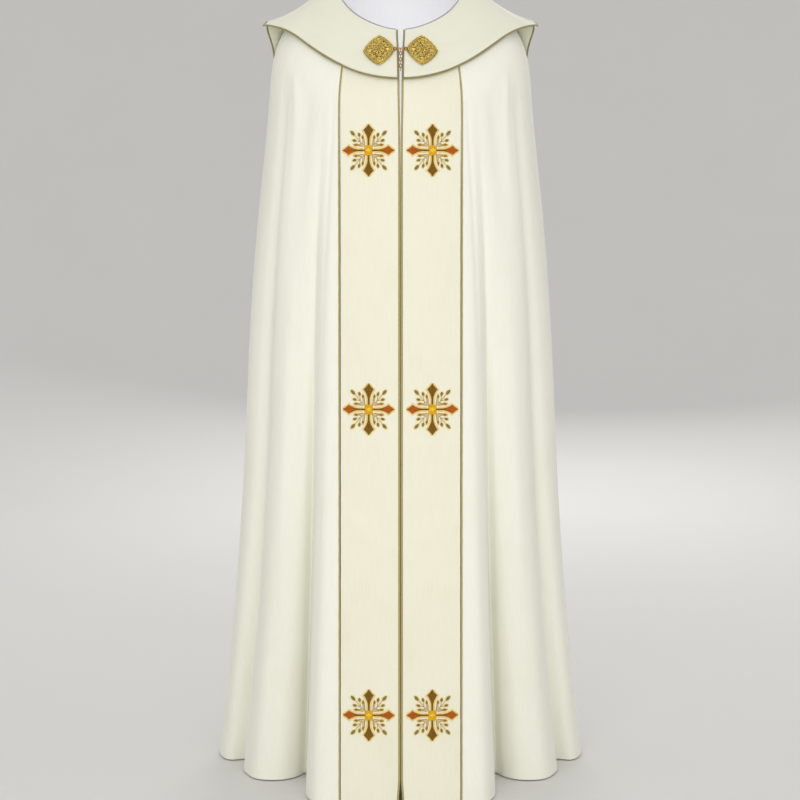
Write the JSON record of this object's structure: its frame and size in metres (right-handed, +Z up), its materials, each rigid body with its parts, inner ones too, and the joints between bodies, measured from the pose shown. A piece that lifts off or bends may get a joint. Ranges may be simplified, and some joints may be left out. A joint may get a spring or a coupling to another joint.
{
  "type": "cope vestment",
  "caption": "Open floor-length ceremonial cape in its worn form, with a wide split collar, piped front bands and a gold clasp at the chest.",
  "frame": {"origin": "centre of the neck opening at the height of the shoulders, where the wearer holds the garment up", "axes": "+Z up, the garment's front faces -Y, and its left as seen from the front is -X"},
  "size_m": [0.72, 0.571, 1.4996],
  "materials": {
    "ivory_satin": "plain ivory satin with a soft sheen",
    "cream_satin": "warmer cream satin",
    "white_lining": "smooth white lining",
    "olive_gold_cord": "olive-gold twisted cord",
    "grey_binding": "grey-white edging",
    "antique_gold": "gilt filigree"
  },
  "bodies": {
    "root": {"back_panel": "ivory_satin", "side_panel_left": "ivory_satin", "side_panel_right": "ivory_satin", "orphrey_left": "cream_satin", "orphrey_right": "cream_satin", "cape_collar": "ivory_satin", "lining_yoke": "white_lining", "neck_binding": "grey_binding", "collar_piping": "olive_gold_cord", "band_piping_left": "olive_gold_cord", "band_piping_right": "olive_gold_cord", "front_piping_left": "olive_gold_cord", "front_piping_right": "olive_gold_cord", "clasp_plate_left": "antique_gold", "clasp_plate_right": "antique_gold", "clasp_link": "antique_gold", "clasp_chain_1": "antique_gold", "clasp_chain_2": "antique_gold", "clasp_chain_3": "antique_gold", "clasp_chain_4": "antique_gold", "clasp_chain_5": "antique_gold", "clasp_chain_6": "antique_gold", "clasp_chain_7": "antique_gold"}
  },
  "joints": []
}
